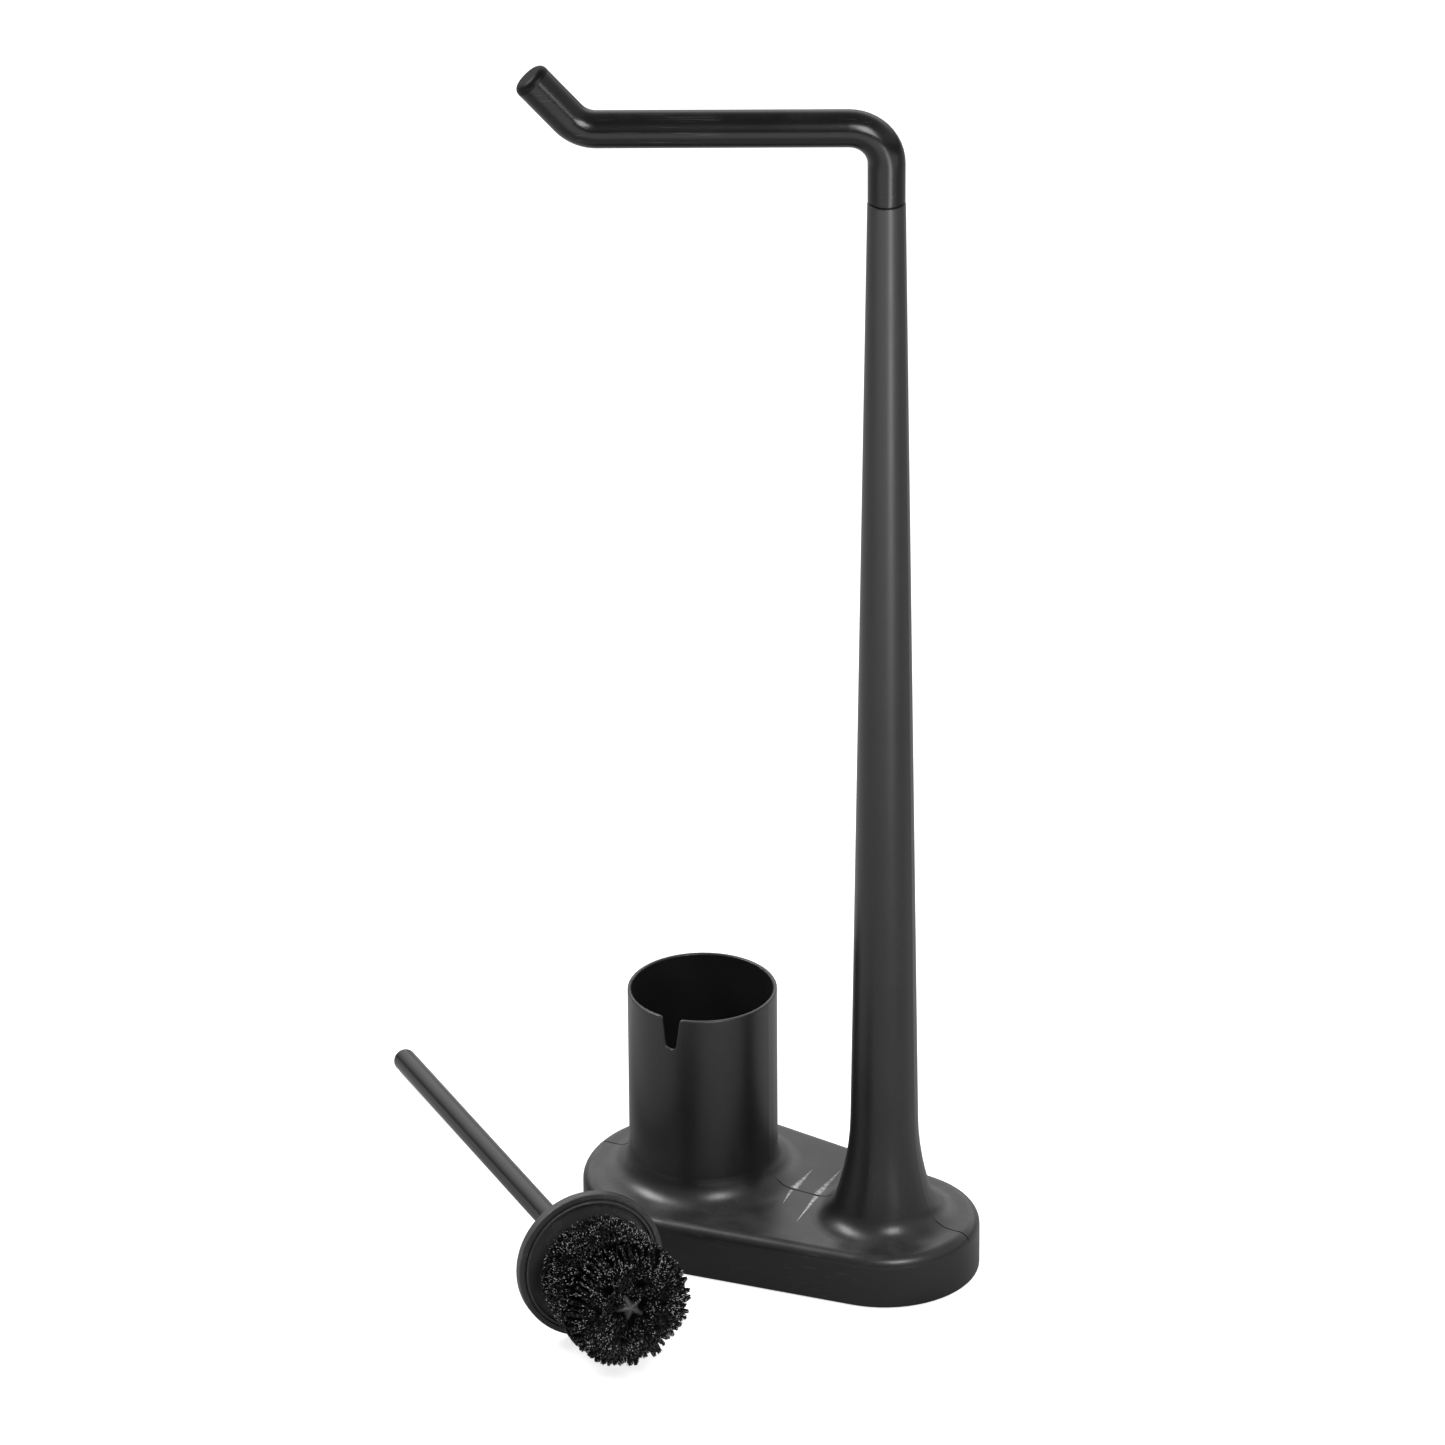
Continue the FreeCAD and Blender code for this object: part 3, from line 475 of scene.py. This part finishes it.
pad_rubber, tree, shader, place, facing = new_finish("pad_rubber", 0.75)
grain = use_group(tree, moulded_grain, Place=place, Grain_Size=0.0009, Tone=(0.022, 0.022, 0.023, 1),
                  Mottle=0.9, Roughness=0.75, Gloss_Change=0.15)
weave = add_node(tree, "ShaderNodeTexVoronoi", {"Vector": place, "Scale": 330.0, "Randomness": 0.0},
                 feature="F1", voronoi_dimensions="2D")
studs = span(tree, weave.outputs["Distance"], 0.28, 0.42, 1.0, 0.0)
lint = use_group(tree, rub_streaks, Place=place, Across=500.0, Along=90.0, Amount=0.6)["Mask"]
tree.links.new(blend_colour(tree, lint, grain["Colour"], (0.11, 0.105, 0.10, 1)), shader.inputs["Base Color"])
tree.links.new(grain["Roughness"], shader.inputs["Roughness"])
emboss(tree, shader, calculate(tree, "MULTIPLY_ADD", grain["Height"], 0.2, studs), 0.0003)
dress("non_slip_pad", pad_rubber)

# Swivel: bush, spigot and washer
# The bush is pressed into the column's top and the spigot into the arm's foot, both turned from
# black acetal, and a washer of the same stuff carries the arm. Turning leaves fine rings.

turning_pitch = 0.0003
bearing_plastic, tree, shader, place, facing = new_finish("bearing_plastic", 0.35)
grain = use_group(tree, moulded_grain, Place=place, Grain_Size=0.0004, Tone=(0.008, 0.008, 0.008, 1),
                  Mottle=0.5, Roughness=0.35, Gloss_Change=0.1)
level = add_node(tree, "ShaderNodeSeparateXYZ", {0: place}).outputs["Z"]
rings = calculate(tree, "SINE", calculate(tree, "MULTIPLY", level, 2 * math.pi / turning_pitch))
tree.links.new(grain["Colour"], shader.inputs["Base Color"])
tree.links.new(grain["Roughness"], shader.inputs["Roughness"])
emboss(tree, shader, calculate(tree, "MULTIPLY_ADD", rings, 0.3, grain["Height"]), 0.000008)
for name in ("arm_socket", "arm_spigot", "swivel_washer", "handle_insert"):
    dress(name, bearing_plastic)

# Roll arm and its end cap
# Steel tube bent on a mandrel and coated satin black, smoother and glossier than the stand, with
# faint rub marks lengthways where rolls are pushed on. The cap is a moulded plug, pressed in.


def coated_tube(name, tone, roughness, heading, rub):
    """Black coating on a tube: a slight orange peel, and rub marks along the tube's heading."""
    material, tree, shader, place, facing = new_finish(name, roughness)
    lined_up = add_node(tree, "ShaderNodeMapping", {"Vector": place, "Rotation": heading},
                        vector_type="TEXTURE").outputs["Vector"]
    grain = use_group(tree, moulded_grain, Place=place, Grain_Size=0.0016, Tone=tone, Mottle=0.5,
                      Roughness=roughness, Gloss_Change=0.07)
    marks = use_group(tree, rub_streaks, Place=lined_up, Across=1300.0, Along=25.0,
                      Amount=rub)["Mask"]
    dust = use_group(tree, surface_dust, Place=place, Facing=facing, Amount=0.03)["Mask"]
    rubbed = blend_colour(tree, marks, grain["Colour"], grey(0.05))
    tree.links.new(blend_colour(tree, dust, rubbed, dust_colour), shader.inputs["Base Color"])
    rough = calculate(tree, "MULTIPLY_ADD", marks, 0.12, grain["Roughness"])
    tree.links.new(calculate(tree, "MULTIPLY_ADD", dust, 0.8, rough), shader.inputs["Roughness"])
    emboss(tree, shader, grain["Height"], 0.000016)
    shader.inputs["Specular IOR Level"].default_value = 0.28
    return material


arm_turn = math.radians(27.8)
dress("roll_arm", coated_tube("arm_satin", grey(0.0030), 0.23, (0, 0, arm_turn), 0.4))
dress("arm_end_cap", plastic_finish("arm_cap", grey(0.0028), 0.42, 0.0012, 0.000008, specular=0.12))


# Brush handle, its end cap, plug and stem
# A drawn tube coated like the arm, closed by a moulded dome. Inside its foot a plug takes the
# threaded stem that draws handle, lid and head together.


def ring_middles(name):
    """The centres of a round tube's two ends: the means of its corner points there."""
    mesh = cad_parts[name].data
    corners = np.zeros(len(mesh.vertices) * 3, np.float32)
    mesh.vertices.foreach_get("co", corners)
    corners = np.unique(corners.reshape(-1, 3).round(6), axis=0).astype(float)
    run = np.linalg.svd(corners - corners.mean(0), full_matrices=False)[2][0]
    along = corners @ run
    nearly = 0.001
    first = corners[along < along.min() + nearly].mean(0)
    second = corners[along > along.max() - nearly].mean(0)
    return first, second


brush_foot, brush_top = sorted(ring_middles("brush_handle"), key=lambda end: -end[2])
brush_run = (brush_top - brush_foot) / np.linalg.norm(brush_top - brush_foot)
level_side = np.cross((0.0, 0.0, 1.0), brush_run)
level_side /= np.linalg.norm(level_side)
high_side = np.cross(brush_run, level_side)
handle_heading = math.atan2(brush_run[1], brush_run[0])
handle_fall = math.asin(-brush_run[2])
dress("brush_handle", coated_tube("handle_satin", grey(0.0030), 0.20,
                                  (0, handle_fall, handle_heading), 0.3))
dress("handle_end_cap", plastic_finish("handle_cap", grey(0.004), 0.36, 0.0009, 0.000012))
dress("brush_stem", screw_steel)

# Brush lid
# A round cover moulded in the stand's plastic. It closes the cup when the brush hangs in it, and
# its lip, inside the flange, centres it in the rim.
lid_matte, tree, shader, place, facing = new_finish("lid_matte", 0.42)
grain = use_group(tree, moulded_grain, Place=place, Grain_Size=0.0005, Tone=grey(0.030), Mottle=0.6,
                  Roughness=0.42, Gloss_Change=0.10)
drops = noise(tree, place, 70.0, 3.0)
water_edge = calculate(tree, "MULTIPLY", span(tree, drops, 0.56, 0.60),
                       span(tree, drops, 0.60, 0.64, 1.0, 0.3))
tree.links.new(blend_colour(tree, calculate(tree, "MULTIPLY", water_edge, 0.05), grain["Colour"], grey(0.3)),
               shader.inputs["Base Color"])
tree.links.new(grain["Roughness"], shader.inputs["Roughness"])
emboss(tree, shader, grain["Height"], 0.000018)
dress("brush_lid", lid_matte)


# Brush core and its nose
# The head is moulded round the stem in grey-black plastic. Past the last tufts its end shows as a
# small star: five ribs that run out between the holes of the end tufts.


def on_brush(drop, radius, angle):
    """Points that lie drop below the lid's top face and radius out from the brush's own axis."""
    sideways = (radius * np.cos(angle))[..., None] * level_side
    upward = (radius * np.sin(angle))[..., None] * high_side
    return brush_foot - drop[..., None] * brush_run + sideways + upward


core_end = 0.0697
nose_end = 0.0768
nose_reach = 0.0118
nose_waist = 0.0052
nose_fall = 0.0035
nose_root = core_end - 0.006
rib_count = 5


def nose_star():
    """A closed dome over a star. The star reaches from the waist to the full reach with the cosine
    of half of five times the angle, to the power of two and a half, and some ribs reach further. The
    dome falls with the way out to the power of 1.6, and its foot runs straight down into the core."""
    angle = np.linspace(0, 2 * math.pi, 160, endpoint=False)
    way = np.linspace(0.0, 1.0, 15)
    crest = np.abs(np.cos(rib_count * angle / 2)) ** 2.5
    uneven = 1.0 + 0.3 * np.sin(2 * angle + 0.7)
    reach = nose_waist + (nose_reach - nose_waist) * crest * uneven
    grid_way, grid_angle = np.meshgrid(way[1:], angle, indexing="ij")
    radius = grid_way * reach
    drop = nose_end - nose_fall * grid_way ** 1.6
    drop = np.vstack([drop, np.full((1, len(angle)), nose_root)])
    radius = np.vstack([radius, radius[-1:]])
    grid_angle = np.vstack([grid_angle, grid_angle[-1:]])
    width = len(angle)
    ring, spot = np.meshgrid(np.arange(len(drop) - 1), np.arange(width), indexing="ij")
    after = (spot + 1) % width
    walls = np.stack([ring * width + spot, (ring + 1) * width + spot, (ring + 1) * width + after,
                      ring * width + after], axis=-1).reshape(-1, 4)
    pole = on_brush(np.array([nose_end]), np.zeros(1), np.zeros(1))
    foot = on_brush(np.array([nose_root]), np.zeros(1), np.zeros(1))
    points = np.vstack([on_brush(drop, radius, grid_angle).reshape(-1, 3), pole, foot])
    first = np.arange(width)
    last = (len(drop) - 1) * width + first
    crown = np.column_stack([first, (first + 1) % width, np.full(width, len(points) - 2)])
    sole = np.column_stack([np.roll(last, -1), last, np.full(width, len(points) - 1)])
    return points, walls.tolist() + crown.tolist() + sole.tolist()


core_plastic = plastic_finish("core_plastic", grey(0.055), 0.5, 0.0006, 0.00002, 0.6)
dress("brush_core", core_plastic)
points, faces = nose_star()
add_piece("core_nose", points, faces, core_plastic, "brush", smooth=True)

# Bristles round the core and at its end
# Tufts of black nylon filament are folded, stapled into holes in the core and trimmed to length.
# They leave the hole tight and fan out into one soft mass, wider at its end, in which a few gaps show.
core_radius = 0.0075
head_top = 0.0175
head_rim = 0.0715
head_end = 0.0805
top_radius = 0.0362
rim_radius = 0.0390
filament_radius = 0.00030
dent_patch = 0.018
lump_columns = 56
lump_rows = 40
lump_size = 2 * math.pi * rim_radius / lump_columns
lump_shift = np.random.default_rng(5).uniform(-0.45, 0.45, (lump_columns, lump_rows, 2))
lump_short = np.random.default_rng(6).uniform(0, 1, (lump_columns, lump_rows)) ** 2


def soft_noise(points, size, seed):
    """Smooth chance between about -1 and 1 that changes over that size: the mean of twelve sine
    waves, each along its own chance direction and with its own phase."""
    chance = np.random.default_rng(seed)
    heading = chance.normal(0, 1, (3, 12))
    heading /= np.linalg.norm(heading, axis=0)
    waves = points @ heading * (2 * math.pi / size) * chance.uniform(0.6, 1.5, 12)
    return np.sin(waves + chance.uniform(0, 2 * math.pi, 12)).mean(1) * 2.6


def filaments(root, tip, outward, thickness, seed):
    """Three-sided closed prisms from root to tip. Each starts along outward and turns towards its
    tip: a point at part p of the way is root + p (tip - root), pulled back towards the straight way
    out by (p - p^1.5) of the sideways distance. Thickness falls by a tenth to the tip."""
    chance = np.random.default_rng(seed)
    count = len(root)
    parts = np.array([0.0, 0.55, 1.0])
    run = tip - root
    sideways = run - (run * outward).sum(1, keepdims=True) * outward
    p = parts[None, :, None]
    middle = root[:, None] + p * run[:, None] - (p - p ** 1.5) * sideways[:, None]
    direction = run / np.linalg.norm(run, axis=1, keepdims=True)
    first = np.cross(direction, (0.31, 0.52, 0.79))
    first /= np.linalg.norm(first, axis=1, keepdims=True)
    second = np.cross(direction, first)
    spin = chance.uniform(0, 2 * math.pi, count)[:, None] + np.array([0.0, 1.0, 2.0]) * 2 * math.pi / 3
    around = (np.cos(spin)[..., None] * first[:, None] + np.sin(spin)[..., None] * second[:, None])
    width = thickness[:, None, None, None] * (1.0 - 0.1 * parts[None, :, None, None])
    points = middle[:, :, None] + around[:, None] * width
    base = np.arange(count)[:, None, None] * 9
    ring = np.arange(2)[None, :, None] * 3
    spot = np.arange(3)[None, None, :]
    after = (spot + 1) % 3
    lower = base + ring
    sides = np.stack([lower + spot, lower + after, lower + 3 + after, lower + 3 + spot],
                     axis=-1).reshape(-1, 4)
    start = np.arange(count) * 9
    caps = np.vstack([np.column_stack([start + 6, start + 7, start + 8]),
                      np.column_stack([start, start + 2, start + 1])])
    along = np.broadcast_to(parts[None, :, None], (count, 3, 3)).reshape(-1)
    tone = np.broadcast_to(chance.uniform(0, 1, count)[:, None, None], (count, 3, 3)).reshape(-1)
    return points.reshape(-1, 3), sides.tolist() + caps.tolist(), along, tone


def gather(angle, drop, pull):
    """Angles and drops on the head's side, drawn by pull towards the middles of lumps, and each
    one's lump. A lump's middle is the shifted centre of the square in which the filament falls."""
    across = (angle / (2 * math.pi) % 1.0) * lump_columns
    down = drop / lump_size
    column = np.floor(across).astype(int) % lump_columns
    row = np.floor(down).astype(int) % lump_rows
    middle_across = np.floor(across) + 0.5 + lump_shift[column, row, 0]
    middle_down = np.floor(down) + 0.5 + lump_shift[column, row, 1]
    across = across + (middle_across - across) * pull
    down = down + (middle_down - down) * pull
    return across / lump_columns * 2 * math.pi, down * lump_size, (column, row)


def side_bristles():
    """Filaments round the core. Holes lie in staggered rings; a tip falls near its own hole, then is
    drawn to its lump. The side widens evenly towards the end, and soft noise dents it by patches."""
    chance = np.random.default_rng(11)
    rings, holes, each = 8, 12, 140
    hole_radius = 0.0016
    tufts_middle, holes_middle, holes_spread = 0.0437, 0.0395, 0.82
    lumps_begin, lumps_grow = 0.060, 0.008
    ring, hole = np.meshgrid(np.arange(rings), np.arange(holes), indexing="ij")
    ring = np.repeat(ring.ravel(), each)
    hole = np.repeat(hole.ravel(), each)
    count = len(ring)
    pitch = (head_rim - head_top) / rings
    hole_angle = (hole + 0.5 * (ring % 2)) * 2 * math.pi / holes
    tuft_drop = head_top + (ring + 0.5) * pitch
    hole_drop = holes_middle + (tuft_drop - tufts_middle) * holes_spread
    spot = chance.uniform(0, 2 * math.pi, count)
    off = hole_radius * np.sqrt(chance.uniform(0, 1, count))
    root = on_brush(hole_drop + off * np.cos(spot), np.full(count, core_radius),
                    hole_angle + off * np.sin(spot) / core_radius)
    angle = hole_angle + chance.normal(0, 0.34, count) * 2 * math.pi / holes
    drop = np.clip(tuft_drop + chance.normal(0, 0.42, count) * pitch, head_top - 0.0005, head_rim + 0.001)
    near_rim = np.clip((drop - lumps_begin) / lumps_grow, 0, 1)
    pull = near_rim * chance.uniform(0.1, 0.9, count)
    angle, drop, own = gather(angle, drop, pull)
    widest = top_radius + (rim_radius - top_radius) * np.clip((drop - head_top) / (head_rim - head_top), 0, 1)
    dent = np.clip(soft_noise(on_brush(drop, widest, angle), dent_patch, 13), 0, 1)
    reach = widest - dent * 0.0008 - lump_short[own] * 0.0045 * near_rim - chance.exponential(0.0006, count)
    tip = on_brush(drop, reach, angle)
    outward = on_brush(np.zeros(count), np.ones(count), hole_angle) - brush_foot
    return filaments(root, tip, outward, filament_radius * chance.uniform(0.85, 1.15, count), 12)


gap_ring = 0.0215
gap_count = 6
gap_size = 0.0034


def end_bristles():
    """Filaments at the end of the head. Tips fill the end disc evenly out to the rim, but stay out
    of a small star round the nose and of a few round gaps between tufts. Towards the rim they
    are drawn to the same lumps as the side's last row, so that slits part some of them."""
    chance = np.random.default_rng(21)
    tried = 11000
    radius = rim_radius * np.sqrt(chance.uniform(0, 1, tried))
    angle = chance.uniform(0, 2 * math.pi, tried)
    star = nose_waist + 0.0002 + (nose_reach - nose_waist) * np.abs(np.cos(rib_count * angle / 2)) ** 3
    keep = radius > star
    gap_chance = np.random.default_rng(23)
    for gap in range(gap_count):
        gap_angle = (gap + gap_chance.uniform(-0.3, 0.3)) * 2 * math.pi / gap_count
        gap_radius = gap_ring * gap_chance.uniform(0.7, 1.2)
        apart = np.hypot(radius * np.cos(angle) - gap_radius * math.cos(gap_angle),
                         radius * np.sin(angle) - gap_radius * math.sin(gap_angle))
        keep &= apart > gap_size * gap_chance.uniform(0.6, 1.2) * chance.uniform(0.6, 1.25, tried)
    radius, angle = radius[keep], angle[keep]
    count = len(radius)
    part = radius / rim_radius
    rim = np.clip((part - 0.7) / 0.25, 0, 1)
    angle, _, own = gather(angle, np.full(count, head_rim), rim * chance.uniform(0.3, 0.95, count))
    radius = radius * (1.0 - rim * lump_short[own] * 0.13)
    dent = np.clip(soft_noise(on_brush(np.full(count, head_end), radius, angle), dent_patch, 14), 0, 1)
    drop = head_end - 0.0085 * part ** 6 - dent * 0.0009 - chance.exponential(0.0006, count)
    root_angle = angle + chance.uniform(-0.3, 0.3, count)
    root = on_brush(0.0685 - 0.0085 * part, 0.0030 + 0.0045 * part, root_angle)
    tip = on_brush(drop, radius, angle)
    lean = 0.1 + 0.9 * part
    outward = on_brush(np.cos(lean), np.sin(lean), angle) - brush_foot
    return filaments(root, tip, outward, filament_radius * chance.uniform(0.85, 1.2, count), 22)


bristle, tree, shader, place, facing = new_finish("bristle", 0.5)
along = add_node(tree, "ShaderNodeAttribute", {}, attribute_name="along").outputs["Fac"]
tone = add_node(tree, "ShaderNodeAttribute", {}, attribute_name="tone").outputs["Fac"]
patch = span(tree, noise(tree, place, 130.0, 1.0), 0.40, 0.60, 0.15, 1.0)
cut_end = calculate(tree, "MULTIPLY", span(tree, along, 0.965, 0.995), span(tree, tone, 0.72, 0.90, 0.0, 1.0))
fibre = blend_colour(tree, tone, grey(0.0010), grey(0.0035))
tree.links.new(blend_colour(tree, calculate(tree, "MULTIPLY", cut_end, patch), fibre, (0.55, 0.55, 0.55, 1)),
               shader.inputs["Base Color"])
rough = span(tree, noise(tree, place, 2500.0, 1.0), 0.3, 0.7, 0.42, 0.60)
tree.links.new(rough, shader.inputs["Roughness"])
emboss(tree, shader, noise(tree, place, 4000.0, 1.0), 0.00001)
shader.inputs["Specular IOR Level"].default_value = 0.25

for name, grow, node in (("side_bristles", side_bristles, "side_tufts"),
                         ("end_bristles", end_bristles, "tip_tufts")):
    points, faces, along_values, tone_values = grow()
    piece = add_piece(name, points, faces, bristle, "brush", instead_of=node)
    for label, values in (("along", along_values), ("tone", tone_values)):
        layer = piece.data.attributes.new(label, "FLOAT", "POINT")
        layer.data.foreach_set("value", np.ascontiguousarray(values, np.float32))
